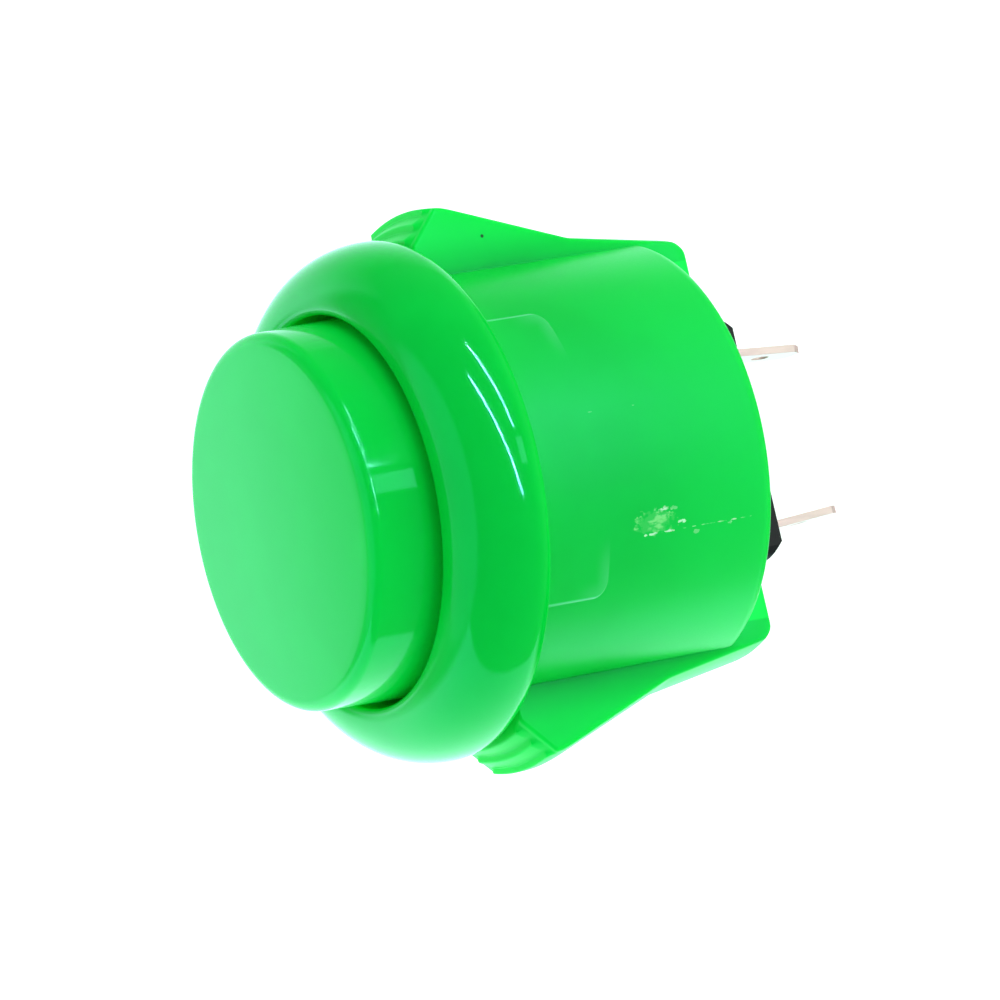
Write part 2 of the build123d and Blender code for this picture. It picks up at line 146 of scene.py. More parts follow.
# Springs
RETURN_SPRING_RADIUS = 1.7
RETURN_SPRING_WIRE = 0.32
RETURN_SPRING_TURNS = 5.5
RETURN_SPRING_LOW = -20.9
RETURN_SPRING_HIGH = -13.8
CONTACT_SPRING_RADIUS = 0.8
CONTACT_SPRING_WIRE = 0.2
CONTACT_SPRING_TURNS = 4.5
CONTACT_SPRING_LOW = -12.6
CONTACT_SPRING_HIGH = -9.6
STEPS_PER_TURN = 32
WIRE_SIDES = 10

# Small bevels on the switch and its strips
MOULDED_BEVEL = 0.12
STRIP_BEVEL = 0.05
BEVEL_STEPS = 2
WELD_DISTANCE = 0.001

SMOOTH_ANGLE = math.radians(35)
SAME = 1e-6                 # two sizes this close count as equal

# Camera, fitted to the photograph
CAMERA_PLACE = (365.11, -39.29, 200.04)
CAMERA_AIM = (2.873, -1.222, -4.028)
CAMERA_UP = (0.1868, 0.9709, -0.1504)
CAMERA_LENS = 237.2
CAMERA_SENSOR = 36.0
CAMERA_NEAR = 10.0

# Floor
FLOOR_HEIGHT = -29.8
FLOOR_SIZE = 3000.0
FLOOR_GLOW = 1.0
FLOOR_ROUGHNESS = 0.9

# Studio light, with directions in the part's frame
SHEET_LEAN = 0.185          # how much farther forward the white sheet reaches below than above
SHEET_BEND = 0.165          # how much it bends back towards both ends
SHEET_EDGE = 0.03
SHEET_LIGHT = 2.2           # where it is brightest
SHEET_BRIGHTEST = -0.3      # height of that place
SHEET_FALL = 1.3            # loss of light with the square of the distance above or below it
SHEET_TOP = 0.49            # height in front of the face at which it fades
SHEET_TOP_TILT = 0.5        # how much higher that is at its lower end
SHEET_FADE = 0.07
SHEET_FADED = 0.25
SHEET_BOTTOM = -0.75        # and behind this it is dark
CEILING_LIGHT = 1.1         # light in front of the button's face
CEILING_EDGE = (0.74, 0.86)
ROOM_LIGHT = 0.3
LAMP_DISTANCE = 450.0
TUBE_WIDTH = 2.2
TUBES = [                   # two long tubes, seen only as reflections: direction of each end, power
    ("tube_back", (0.56, 0.82, -0.11), (0.88, 0.27, -0.36), 0.75),
    ("tube_front", (0.73, 0.66, 0.16), (0.95, -0.20, -0.27), 1.3),
]
SOFT_LIGHTS = [             # broad lamps with no reflection of their own: direction, size, power
    ("fill", (-0.2, 0.1, 0.97), 300.0, 0.36),
    ("side", (0.72, 0.68, 0.12), 300.0, 0.6),
]
PATCH_PLACE = (0.89, 0.11, -0.44)
PATCH_SIZE = 80.0
PATCH_POWER = 0.045

# Colours, linear
GREEN = (0.0016, 0.605, 0.046, 1.0)
GREEN_DEEP = (0.0014, 0.575, 0.042, 1.0)
# painted light: a lighter green for the wings and the barrel's rear edge, as if lit through from behind
GREEN_PAINTED_BACKLIGHT = (0.004, 0.78, 0.066, 1.0)
# painted light: a lighter green inside the bore and on the plunger's side in the gap, where shade would fall
GREEN_PAINTED_GAP_LIGHT = (0.004, 0.96, 0.075, 1.0)
GREEN_SCUFFED = (0.30, 0.86, 0.26, 1.0)
GREEN_CHIPPED = (0.62, 0.93, 0.62, 1.0)
# painted highlight colour for the pads' edges
GREEN_PAINTED_HIGHLIGHT = (0.36, 0.95, 0.74, 1.0)
PLUNGER_GREEN = (0.0018, 0.68, 0.055, 1.0)
PLUNGER_DEEP = (0.0016, 0.65, 0.051, 1.0)
SPECK = (0.02, 0.10, 0.01, 1.0)
GLOSS = (0.2, 0.95, 0.95, 1.0)
BLACK = (0.012, 0.012, 0.013, 1.0)
NATURAL = (0.75, 0.74, 0.7, 1.0)
COPPER = (0.97, 0.73, 0.68, 1.0)
STEEL = (0.55, 0.55, 0.56, 1.0)
SILVER = (0.8, 0.8, 0.78, 1.0)
PAPER = (0.45, 0.45, 0.45, 1.0)
SHEET_TINT = (0.64, 0.97, 1.0, 1.0)
WHITE = (1.0, 1.0, 1.0, 1.0)

# Finish of the green plastic, with noise scales in waves a metre
NOISE_SPAN = (0.3, 0.7)     # where most values of a noise lie
TONE_SPAN = (0.35, 0.65)
STROKE_SPAN = (0.45, 0.62)
HOUSING_TONE_SCALE = 180.0
PLUNGER_TONE_SCALE = 160.0
GRAIN_SCALE = 5200.0
STROKE_SCALE = 1600.0
STROKE_STRETCH = (1.0, 1.0, 0.5)
PLUNGER_HAZE_SCALE = 900.0
RIM_ROUGHNESS = 0.06
BARREL_ROUGHNESS = 0.33
GRAIN_ROUGHNESS = 0.02
WORN_ROUGHNESS = 0.3
PLUNGER_ROUGHNESS = (0.05, 0.08)
GRAIN_STRENGTH = 0.12
GRAIN_DEPTH = 0.02
WORN_STRENGTH = 0.8
WORN_DEPTH = 0.05
SATIN_EDGE = (0.1, -0.3)    # heights between which the rim's gloss gives way to the barrel's satin
WING_EDGE = (BARREL_RADIUS - 1.0, BARREL_RADIUS - 0.6)      # from here outwards a wing is duller
WING_PAINTED_BACKLIGHT = (BARREL_RADIUS - 1.0, BARREL_RADIUS + 2.0)      # and over this it is painted lighter, painted light standing in for light shining through the thin wing
REAR_PAINTED_BACKLIGHT = 0.6             # how much of that painted light the barrel's rear edge has
BORE_PAINTED_LIGHT_FADE = 0.2
GAP_PAINTED_LIGHT_FADE = 1.5
MOULDED_SPECULAR = 0.5
WING_SPECULAR = 0.15
TRANSLUCENT = {"subsurface_weight": 0.5, "subsurface_radius": (0.2, 1.0, 0.4), "subsurface_scale": 1.2 * MM}

# Finish of the switch: roughness, and the share of the colour in its darker tone
SWITCH_ROUGHNESS = 0.45
SWITCH_SPECULAR = 0.2
SWITCH_GRAIN_SCALE = 2500.0
SWITCH_GRAIN_STRENGTH = 0.25
SWITCH_SHADE = 0.8
SWITCH_UNEVEN = 0.05
STRIP_ROUGHNESS = 0.38
STRIP_METALLIC = 0.3
CONTACT_ROUGHNESS = 0.25
WIRE_ROUGHNESS = 0.3
STREAK_SCALE = 1500.0
STREAK_STRENGTH = 0.1
STREAK_DEPTH = 0.01
ROLLED = (4.0, 4.0, 0.4)    # streaks along the strip
EVEN = (1.0, 1.0, 1.0)
METAL_SHADE = 0.82
METAL_UNEVEN = 0.07

# Marks of wear on the barrel: azimuth in degrees, depth behind the panel plane, length along the axis, width
SCUFF = (-22.2, 8.75, 3.1, 1.6)
CHIPS = [
    (-25.2, 8.8, 2.4, 0.16),
    (-19.3, 9.6, 1.2, 0.30),
    (-23.2, 10.65, 0.5, 0.22),
    (-26.5, 11.8, 0.3, 0.20),
    (-25.6, 14.3, 0.3, 0.24),
    (-25.1, 12.9, 3.8, 0.07),
    (8.4, 5.4, 0.2, 0.05),
    (8.3, 8.6, 0.2, 0.05),
]
SCUFF_RAGGED = 0.35
SCUFF_TONE = (0.12, 0.75)
CHIP_RAGGED = 0.8
CHIP_TONE = (0.25, 0.9)
MARK_SCALE = 2600.0
MARK_EDGE = 0.75            # share of a mark's size at which it is full
# Tones of the painted highlights along the pads' edges
PAD_HIGHLIGHT_LINE_TONE = 0.3
PAD_PAINTED_SHEEN_TONE = 0.11

# Dark specks on the housing
SPECKS = [(4.5, 15.42, -6.12)]
SPECK_SIZE = 0.15
SPECK_CORE = 0.5

# Directions
TOWARDS_FINGER = (0.0, 0.0, 1.0)
TOWARDS_REAR = (0.0, 0.0, -1.0)
TOWARDS_WING = (0.0, 1.0, 0.0)

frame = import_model()


# Curves and outlines

def spread(start, end, steps):
    """Values from start to end, both included."""
    return [start + (end - start) * i / steps for i in range(steps + 1)]


def smooth_step(value):
    t = min(max(value, 0.0), 1.0)
    return t * t * (3 - 2 * t)


def quarter(centre_r, centre_z, size_r, size_z, start, steps):
    """Points on a quarter ellipse, anticlockwise from the start angle, with both ends."""
    turns = [math.radians(angle) for angle in spread(start, start + 90.0, steps)]
    return [(centre_r + size_r * math.cos(t), centre_z + size_z * math.sin(t)) for t in turns]


def hermite(start, end, start_direction, end_direction, steps):
    """Points on a smooth curve that leaves and arrives in the given directions."""
    reach = (end - start).length
    points = []
    for t in spread(0.0, 1.0, steps):
        place = ((2 * t ** 3 - 3 * t ** 2 + 1) * start + (t ** 3 - 2 * t ** 2 + t) * reach * start_direction
                 + (3 * t ** 2 - 2 * t ** 3) * end + (t ** 3 - t ** 2) * reach * end_direction)
        points.append((place.x, place.y))
    return points


def rectangle(width, length, corner=0.0):
    """Corners of a rectangle in (x, y), rounded if a corner radius is given."""
    half_x = width / 2 - corner
    half_y = length / 2 - corner
    points = []
    for start, sign_x, sign_y in ((0, 1, 1), (90, -1, 1), (180, -1, -1), (270, 1, -1)):
        if corner:
            points += quarter(sign_x * half_x, sign_y * half_y, corner, corner, start, 6)
        else:
            points.append((sign_x * half_x, sign_y * half_y))
    return points


def arc_sector(inner, outer, half_angle, steps=16):
    """Corners of a piece of a ring about +X in (x, y)."""
    turns = [math.radians(a) for a in spread(-half_angle, half_angle, steps)]
    out = [(outer * math.cos(t), outer * math.sin(t)) for t in turns]
    back = [(inner * math.cos(t), inner * math.sin(t)) for t in reversed(turns)]
    return out + back


def outline_normals(outline):
    """Outward normals of a closed outline that runs clockwise or anticlockwise."""
    area = 0.0
    for i, (r, z) in enumerate(outline):
        following = outline[(i + 1) % len(outline)]
        area += r * following[1] - following[0] * z
    sign = 1 if area > 0 else -1
    normals = []
    for i in range(len(outline)):
        before = Vector(outline[i - 1])
        here = Vector(outline[i])
        after = Vector(outline[(i + 1) % len(outline)])
        along = (here - before).normalized() + (after - here).normalized()
        normals.append(Vector((along.y, -along.x)).normalized() * sign)
    return normals


def inset(outline, distance):
    """The closed outline moved inwards."""
    normals = outline_normals(outline)
    return [(r - normal.x * distance, z - normal.y * distance) for (r, z), normal in zip(outline, normals)]


def rounded(outline, sizes, steps=3):
    """The closed outline with each corner rounded, from its size before it to its size after it."""
    points = []
    for i, (corner, size) in enumerate(zip(outline, sizes)):
        here = Vector(corner)
        before = Vector(outline[i - 1]) - here
        after = Vector(outline[(i + 1) % len(outline)]) - here
        start = here + before.normalized() * min(size, LONGEST_ROUND * before.length)
        end = here + after.normalized() * min(size, LONGEST_ROUND * after.length)
        for t in spread(0.0, 1.0, steps):
            place = start * (1 - t) ** 2 + here * 2 * t * (1 - t) + end * t ** 2
            points.append((place.x, place.y))
    return points


# Meshes

def mesh_object(name, verts, faces):
    """New object from points in millimetres."""
    mesh = bpy.data.meshes.new(name)
    mesh.from_pydata([(x * MM, y * MM, z * MM) for x, y, z in verts], [], faces)
    mesh.validate()
    obj = bpy.data.objects.new(name, mesh)
    bpy.context.scene.collection.objects.link(obj)
    return obj


def solid(name, verts, faces):
    """New closed object with all its faces turned outwards."""
    obj = mesh_object(name, verts, faces)
    work = bmesh.new()
    work.from_mesh(obj.data)
    bmesh.ops.recalc_face_normals(work, faces=work.faces)
    work.to_mesh(obj.data)
    work.free()
    return obj


def lathe(name, outline, angles, radial_shift=None):
    """Closed outline in (r, z) turned about Z at the given angles in degrees."""
    verts = []
    rings = []
    for r, z in outline:
        if r == 0:
            rings.append([len(verts)] * len(angles))
            verts.append((0, 0, z))
            continue
        ring = []
        for angle in angles:
            shifted = r + (radial_shift(r, z, angle) if radial_shift else 0)
            turn = math.radians(angle)
            ring.append(len(verts))
            verts.append((shifted * math.cos(turn), shifted * math.sin(turn), z))
        rings.append(ring)
    faces = []
    for i, ring in enumerate(rings):
        following = rings[(i + 1) % len(rings)]
        for k in range(len(angles)):
            j = (k + 1) % len(angles)
            corners = [ring[k], ring[j], following[j], following[k]]
            face = list(dict.fromkeys(corners))
            if len(face) > 2:
                faces.append(face)
    return solid(name, verts, faces)


def skin(name, loops):
    """Closed skin over loops with as many points each, with a cap on the first and the last."""
    count = len(loops[0])
    last = (len(loops) - 1) * count
    faces = []
    for c in range(0, last, count):
        for i in range(count):
            j = (i + 1) % count
            faces.append([c + i, c + j, c + count + j, c + count + i])
    faces.append(list(range(count))[::-1])
    faces.append([last + i for i in range(count)])
    return solid(name, [point for loop in loops for point in loop], faces)


def prism(name, corners, low, high):
    """Upright prism on a polygon in (x, y)."""
    return skin(name, [[(x, y, z) for x, y in corners] for z in (low, high)])


def revolved_strip(name, sections):
    """Skin over outlines in (r, z), each at its own place across +Y, bent round about Z."""
    loops = []
    for across, outline in sections:
        loops.append([(across, math.sqrt(r ** 2 - across ** 2), z) for r, z in outline])
    return skin(name, loops)


def turned_half(obj):
    """The same mesh turned half round about Z, as a second object."""
    copy = obj.copy()
    copy.data = obj.data.copy()
    copy.data.transform(Matrix.Rotation(math.pi, 4, "Z"))
    bpy.context.scene.collection.objects.link(copy)
    return copy


def join(target, others):
    """Puts the meshes of the others into the target."""
    with bpy.context.temp_override(active_object=target, selected_editable_objects=[target] + others):
        bpy.ops.object.join()


def cut(target, cutters):
    """Takes the cutters' volumes out of the target's mesh."""
    tool = cutters[0]
    join(tool, cutters[1:])
    modifier = target.modifiers.new("cut", "BOOLEAN")
    modifier.operation = "DIFFERENCE"
    modifier.solver = "EXACT"
    modifier.object = tool
    depsgraph = bpy.context.evaluated_depsgraph_get()
    result = bpy.data.meshes.new_from_object(target.evaluated_get(depsgraph))
    target.modifiers.clear()
    target.data = result
    bpy.data.objects.remove(tool)


def shade(obj):
    """Smooth shading, with edges kept where the surface really turns."""
    obj.data.shade_smooth()
    obj.data.set_sharp_from_angle(angle=SMOOTH_ANGLE)


def soften(obj, width):
    """Small bevels along the edges, which leave the mesh itself as it is."""
    weld = obj.modifiers.new("weld", "WELD")
    weld.merge_threshold = WELD_DISTANCE * MM
    bevel = obj.modifiers.new("bevel", "BEVEL")
    bevel.width = width * MM
    bevel.segments = BEVEL_STEPS
    bevel.limit_method = "ANGLE"
    bevel.angle_limit = SMOOTH_ANGLE
    bevel.harden_normals = True


# Housing

def from_x_axis(angle):
    """Angle in degrees to the nearer end of the X axis."""
    return abs((angle + 90) % 180 - 90)


def pad_shift(r, z, angle):
    """How far the two pads stand out of the barrel's side at a place."""
    if abs(r - BARREL_RADIUS) > SAME or z < -PAD_DEPTH - PAD_EDGE:
        return 0.0
    turn = math.radians(from_x_axis(angle))
    reach = BARREL_RADIUS + PAD_FLATNESS - PAD_SINK
    surface = math.sqrt(reach ** 2 - (PAD_FLATNESS * math.sin(turn)) ** 2) - PAD_FLATNESS * math.cos(turn)
    across = BARREL_RADIUS * math.sin(turn) - PAD_SPAN / 2 + PAD_CORNER
    down = -z - PAD_DEPTH + PAD_CORNER
    outside = math.hypot(max(across, 0), max(down, 0)) + min(max(across, down), 0) - PAD_CORNER
    proud = surface - BARREL_RADIUS + PAD_TAPER * z / PAD_DEPTH
    return max(proud, 0.0) * smooth_step(0.5 - outside / PAD_EDGE)


def barrel_angles():
    """Turns of the lathe, closer together at the ends of the pads."""
    inner = math.degrees(math.asin((PAD_SPAN / 2 - PAD_CORNER) / BARREL_RADIUS))
    outer = math.degrees(math.asin((PAD_SPAN / 2 + PAD_EDGE) / BARREL_RADIUS))
    angles = [a for a in spread(0, 360, BARREL_SIDES)[:-1] if not inner < from_x_axis(a) < outer]
    for base in (0, 180):
        for side in (1, -1):
            angles += [(base + side * a) % 360 for a in spread(inner, outer, PAD_EDGE_STEPS)]
    return sorted(angles)


def housing_outline():
    edge_r = RIM_RADIUS - RIM_EDGE_ROUND
    heel_r = BARREL_RADIUS - BARREL_REAR_ROUND
    heel_z = -BARREL_DEPTH + BARREL_REAR_ROUND
    outline = quarter(edge_r, RIM_EDGE_HEIGHT, RIM_EDGE_ROUND, RIM_EDGE_HEIGHT, -90, 10)
    outline += quarter(RIM_CREST_RADIUS, RIM_EDGE_HEIGHT, RIM_RADIUS - RIM_CREST_RADIUS,
                       RIM_CREST_HEIGHT - RIM_EDGE_HEIGHT, 0, 32)[1:]
    outline += quarter(RIM_CREST_RADIUS, BORE_MOUTH_HEIGHT, RIM_CREST_RADIUS - BORE_RADIUS,
                       RIM_CREST_HEIGHT - BORE_MOUTH_HEIGHT, 90, 8)[1:]
    outline += [(BORE_RADIUS, FLOOR_TOP), (0, FLOOR_TOP), (0, -BARREL_DEPTH)]
    outline += quarter(heel_r, heel_z, BARREL_REAR_ROUND, BARREL_REAR_ROUND, -90, 8)
    pad_rear = spread(-PAD_DEPTH - PAD_EDGE, -PAD_DEPTH + PAD_CORNER, PAD_EDGE_STEPS)
    outline += [(BARREL_RADIUS, z) for z in pad_rear]
    outline += [(BARREL_RADIUS, 0)]
    return outline


def slope_height(r):
    """Height of the slope that a wing's steps stand on."""
    return -WING_END_DEPTH - (r - STEPS_START + STEP_TREAD) * STEP_HEIGHT / STEP_RUN


def wing_end(stepped):
    """Outline of a wing's sloping end, from its flat out to the tip, with the steps or plain."""
    points = [(STEPS_START - STEP_TREAD, -WING_END_DEPTH)]
    for i in range(STEPS):
        edge = STEPS_START + i * STEP_RUN
        top = -WING_END_DEPTH - i * STEP_HEIGHT
        points += [(edge, top), (edge + STEP_SLANT, top - STEP_HEIGHT)]
    points.append((WING_TIP_RADIUS, -WING_END_DEPTH - STEPS * STEP_HEIGHT))
    return points if stepped else [(r, slope_height(r)) for r, _ in points]


def wing_outline(stepped):
    tip = Vector((WING_TIP_RADIUS, slope_height(WING_TIP_RADIUS)))
    shoulder = Vector((WING_SHOULDER_RADIUS, -WING_SHOULDER_DEPTH))
    kink = Vector((WING_KINK_RADIUS, -WING_KINK_DEPTH))
    outline = [(WING_INNER_RADIUS, -BARREL_DEPTH + OVERLAP),
               (WING_INNER_RADIUS, -WING_END_DEPTH - WING_END_CHAMFER),
               (WING_INNER_RADIUS + WING_END_CHAMFER, -WING_END_DEPTH)]
    sizes = [WING_CORNER_ROUND] * len(outline)
    outline += wing_end(stepped)
    sizes += [STEP_ROUND if stepped else WING_CORNER_ROUND] * (len(outline) - len(sizes))
    outline += hermite(tip, shoulder, Vector((0, -1)), (kink - shoulder).normalized(), 6)[1:]
    outline += [(WING_KINK_RADIUS, -WING_KINK_DEPTH), (WING_ROOT_RADIUS, -WING_ROOT_DEPTH),
                (WING_ROOT_RADIUS - WING_HEEL, -WING_ROOT_DEPTH - WING_HEEL),
                (WING_ROOT_INNER, -WING_ROOT_DEPTH - WING_HEEL), (WING_ROOT_INNER, -BARREL_DEPTH + OVERLAP)]
    sizes += [WING_CORNER_ROUND] * (len(outline) - len(sizes))
    return rounded(outline, sizes)


def wing_sections():
    """Outlines across a wing, with the steps in the middle and rounded long edges."""
    plain = wing_outline(False)
    straight = WING_WIDTH / 2 - WING_EDGE_ROUND
    half = [(x, wing_outline(True)) for x in spread(0, STEPS_WIDTH / 2, 12)]
    half += [(x, plain) for x in spread(STEPS_WIDTH / 2 + STEP_WALL, straight, 3)]
    for out, up in quarter(0, 0, WING_EDGE_ROUND, WING_EDGE_ROUND, 0, 4)[-2::-1]:
        half.append((straight + out, inset(plain, WING_EDGE_ROUND - up)))
    return [(-x, outline) for x, outline in half[:0:-1]] + half


def slot_corners():
    """Corners of a wing's slot in (x, y), with a round inner side."""
    half = WING_WIDTH / 2 + WING_GAP
    inner = WING_INNER_RADIUS - WING_BACK_GAP
    outer = BARREL_RADIUS + OVERCUT
    side = math.asin(half / inner)
    arc = [(inner * math.sin(t), inner * math.cos(t)) for t in spread(-side, side, 16)]
    return arc + [(half, outer), (-half, outer)]


def housing():
    body = lathe("housing_body", housing_outline(), barrel_angles(), pad_shift)
    below = -BARREL_DEPTH - OVERCUT
    above_floor = FLOOR_TOP + OVERCUT
    slot = prism("slot", slot_corners(), below, SLOT_TOP)
    core_corners = arc_sector(LEDGE_RADIUS - LEG_THICKNESS, BORE_RADIUS - LEG_CLEARANCE, LEDGE_HALF_ANGLE)
    core = prism("core", core_corners, below, above_floor)
    window = prism("window", rectangle(WINDOW_WIDTH, WINDOW_LENGTH, WINDOW_CORNER), below, above_floor)
    cut(body, [slot, turned_half(slot), core, turned_half(core), window])
    ledge_corners = arc_sector(LEDGE_RADIUS, BORE_RADIUS + OVERLAP, LEDGE_HALF_ANGLE)
    ledge = prism("ledge", ledge_corners, LEDGE_BOTTOM, LEDGE_TOP)
    wing = revolved_strip("wing", wing_sections())
    join(body, [ledge, turned_half(ledge), wing, turned_half(wing)])
    shade(body)
    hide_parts("housing")
    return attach(body, "body")


# Plunger

def plunger_outline():
    edge_r = PLUNGER_FACE_RADIUS - PLUNGER_EDGE_ROUND
    edge_z = PLUNGER_HEIGHT - PLUNGER_EDGE_ROUND
    sphere = (edge_r ** 2 + PLUNGER_CROWN ** 2) / (2 * PLUNGER_CROWN)
    outline = [(0, PLUNGER_HEIGHT - PLUNGER_WALL), (0, PLUNGER_HEIGHT + PLUNGER_CROWN)]
    for r in spread(0, edge_r, 16)[1:-1]:
        outline.append((r, PLUNGER_HEIGHT + PLUNGER_CROWN - sphere + math.sqrt(sphere ** 2 - r ** 2)))
    outline += quarter(edge_r, edge_z, PLUNGER_EDGE_ROUND, PLUNGER_EDGE_ROUND, 0, 16)[::-1]
    inner = PLUNGER_FACE_RADIUS - PLUNGER_WALL
    outline += [(SKIRT_RADIUS, SKIRT_TOP), (SKIRT_RADIUS, SKIRT_BOTTOM), (inner, SKIRT_BOTTOM),
                (inner, PLUNGER_HEIGHT - PLUNGER_WALL)]
    return outline


def leg_outline():
    outer = LEDGE_RADIUS - LEG_CLEARANCE
    inner = outer - LEG_THICKNESS
    hook_r = BORE_RADIUS - LEG_CLEARANCE
    hook_top = LEDGE_BOTTOM - HOOK_GAP
    hook_low = hook_top - HOOK_HEIGHT
    end = hook_low - HOOK_TAPER
    return [(inner, SKIRT_TOP), (outer, SKIRT_TOP), (outer, hook_top), (hook_r, hook_top), (hook_r, hook_low),
            (outer, end), (inner, end)]


def plunger():
    cap = lathe("plunger_cap", plunger_outline(), spread(0, 360, PLUNGER_SIDES)[:-1])
    roof = PLUNGER_HEIGHT - PLUNGER_WALL + OVERLAP
    rib_x = prism("rib_x", rectangle(PUSHER_SPAN, PUSHER_RIB), PUSHER_BOTTOM, roof)
    rib_y = prism("rib_y", rectangle(PUSHER_RIB, PUSHER_SPAN), PUSHER_BOTTOM, roof)
    leg = revolved_strip("leg", [(x, leg_outline()) for x in spread(-LEG_WIDTH / 2, LEG_WIDTH / 2, 12)])
    leg.data.transform(Matrix.Rotation(-math.pi / 2, 4, "Z"))
    join(cap, [rib_x, rib_y, leg, turned_half(leg)])
    shade(cap)
    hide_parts("plunger")
    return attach(cap, "plunger")


# Springs

def coil(name, radius, wire, turns, low, high):
    """Wound wire between two seats."""
    start = low + wire / 2
    rise = high - low - wire
    loops = []
    for t in spread(0.0, 1.0, int(turns * STEPS_PER_TURN)):
        turn = 2 * math.pi * turns * t
        loop = []
        for bend in spread(0.0, 2 * math.pi, WIRE_SIDES)[:-1]:
            r = radius + wire / 2 * math.cos(bend)
            z = start + rise * t + wire / 2 * math.sin(bend)
            loop.append((r * math.cos(turn), r * math.sin(turn), z))
        loops.append(loop)
    obj = skin(name, loops)
    shade(obj)
    return obj


def springs():
    long_one = coil("return_coil", RETURN_SPRING_RADIUS, RETURN_SPRING_WIRE, RETURN_SPRING_TURNS,
                    RETURN_SPRING_LOW, RETURN_SPRING_HIGH)
    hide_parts("return_spring")
    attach(long_one, "body")
    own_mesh(long_one)
    short_one = coil("contact_coil", CONTACT_SPRING_RADIUS, CONTACT_SPRING_WIRE, CONTACT_SPRING_TURNS,
                     CONTACT_SPRING_LOW, CONTACT_SPRING_HIGH)
    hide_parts("contact_spring")
    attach(short_one, "actuator")
    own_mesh(short_one)
    return [long_one, short_one]


# Nodes

class Nodes:
    """Short way to write the nodes of a material or the world."""

    def __init__(self, tree):
        self.tree = tree

    def put(self, socket, value):
        """Links a node's output to a socket, or sets the socket's own value."""
        if isinstance(value, bpy.types.NodeSocket):
            self.tree.links.new(value, socket)
        else:
            socket.default_value = value

    def node(self, kind, inputs=None, output=0, **settings):
        made = self.tree.nodes.new(kind)
        for key, value in settings.items():
            setattr(made, key, value)
        for key, value in (inputs or {}).items():
            self.put(made.inputs[key], value)
        return made.outputs[output]

    def math(self, operation, a, b=0.0, c=0.0):
        return self.node("ShaderNodeMath", {0: a, 1: b, 2: c}, operation=operation)

    def vector(self, operation, a, b=(0.0, 0.0, 0.0), output=0):
        return self.node("ShaderNodeVectorMath", {0: a, 1: b}, output, operation=operation)

    def hypot(self, a, b):
        return self.vector("LENGTH", self.node("ShaderNodeCombineXYZ", {0: a, 1: b}), output="Value")

    def ramp(self, value, low, high, start=0.0, end=1.0):
        """Smooth change from start to end while the value goes from low to high."""
        inputs = {"Value": value, "From Min": low, "From Max": high, "To Min": start, "To Max": end}
        return self.node("ShaderNodeMapRange", inputs, interpolation_type="SMOOTHSTEP")

    def blend(self, factor, a, b):
        """Mix of two numbers."""
        return self.node("ShaderNodeMix", {0: factor, 2: a, 3: b})

    def mix(self, factor, a, b):
        """Mix of two colours."""
        return self.node("ShaderNodeMix", {0: factor, 6: a, 7: b}, 2, data_type="RGBA")


class Surface(Nodes):
    """A material with one principled shader."""

    def __init__(self, name):
        self.material = bpy.data.materials.new(name)
        self.material.use_nodes = True
        super().__init__(self.material.node_tree)
        self.shader = self.tree.nodes["Principled BSDF"]

    def place(self):
        return self.node("ShaderNodeTexCoord", output="Object")

    def along(self, direction, start=0.0):
        """Distance in millimetres along a direction, from a start."""
        distance = self.vector("DOT_PRODUCT", self.place(), Vector(direction) / MM, "Value")
        return self.math("SUBTRACT", distance, start)

    def from_axis(self):
        """Distance in millimetres from the button's axis."""
        flat = self.vector("MULTIPLY", self.place(), (1 / MM, 1 / MM, 0.0))
        return self.vector("LENGTH", flat, output="Value")

    def noise(self, scale, detail=2.0, roughness=0.5, stretch=EVEN):
        inputs = {"Vector": self.vector("MULTIPLY", self.place(), stretch), "Scale": scale, "Detail": detail,
                  "Roughness": roughness}
        return self.node("ShaderNodeTexNoise", inputs, "Fac")

    def bump(self, height, strength, depth, normal=None):
        """Relief of the given depth in millimetres, on top of another if there is one."""
        inputs = {"Height": height, "Strength": strength, "Distance": depth * MM}
        if normal is not None:
            inputs["Normal"] = normal
        return self.node("ShaderNodeBump", inputs, "Normal")

    def finish(self, **inputs):
        for key, value in inputs.items():
            self.put(self.shader.inputs[key.replace("_", " ").title().replace("Ior", "IOR")], value)
        return self.material


# Materials

def barrel_mark(n, azimuth, depth, length, width, ragged):
    """Where an oval mark with a ragged edge lies on the barrel."""
    turn = math.radians(azimuth)
    out = (math.cos(turn), math.sin(turn), 0.0)
    behind = n.math("DIVIDE", n.along(TOWARDS_REAR, depth), length / 2)
    beside = n.math("DIVIDE", n.along((-out[1], out[0], 0.0)), width / 2)
    unevenness = n.ramp(n.noise(MARK_SCALE, 3.0), *NOISE_SPAN, -ragged, ragged)
    reach = n.math("ADD", n.hypot(behind, beside), unevenness)
    near_side = n.ramp(n.along(out), 0.0, BARREL_RADIUS / 2)
    return n.math("MULTIPLY", n.ramp(reach, 1.0, MARK_EDGE), near_side)


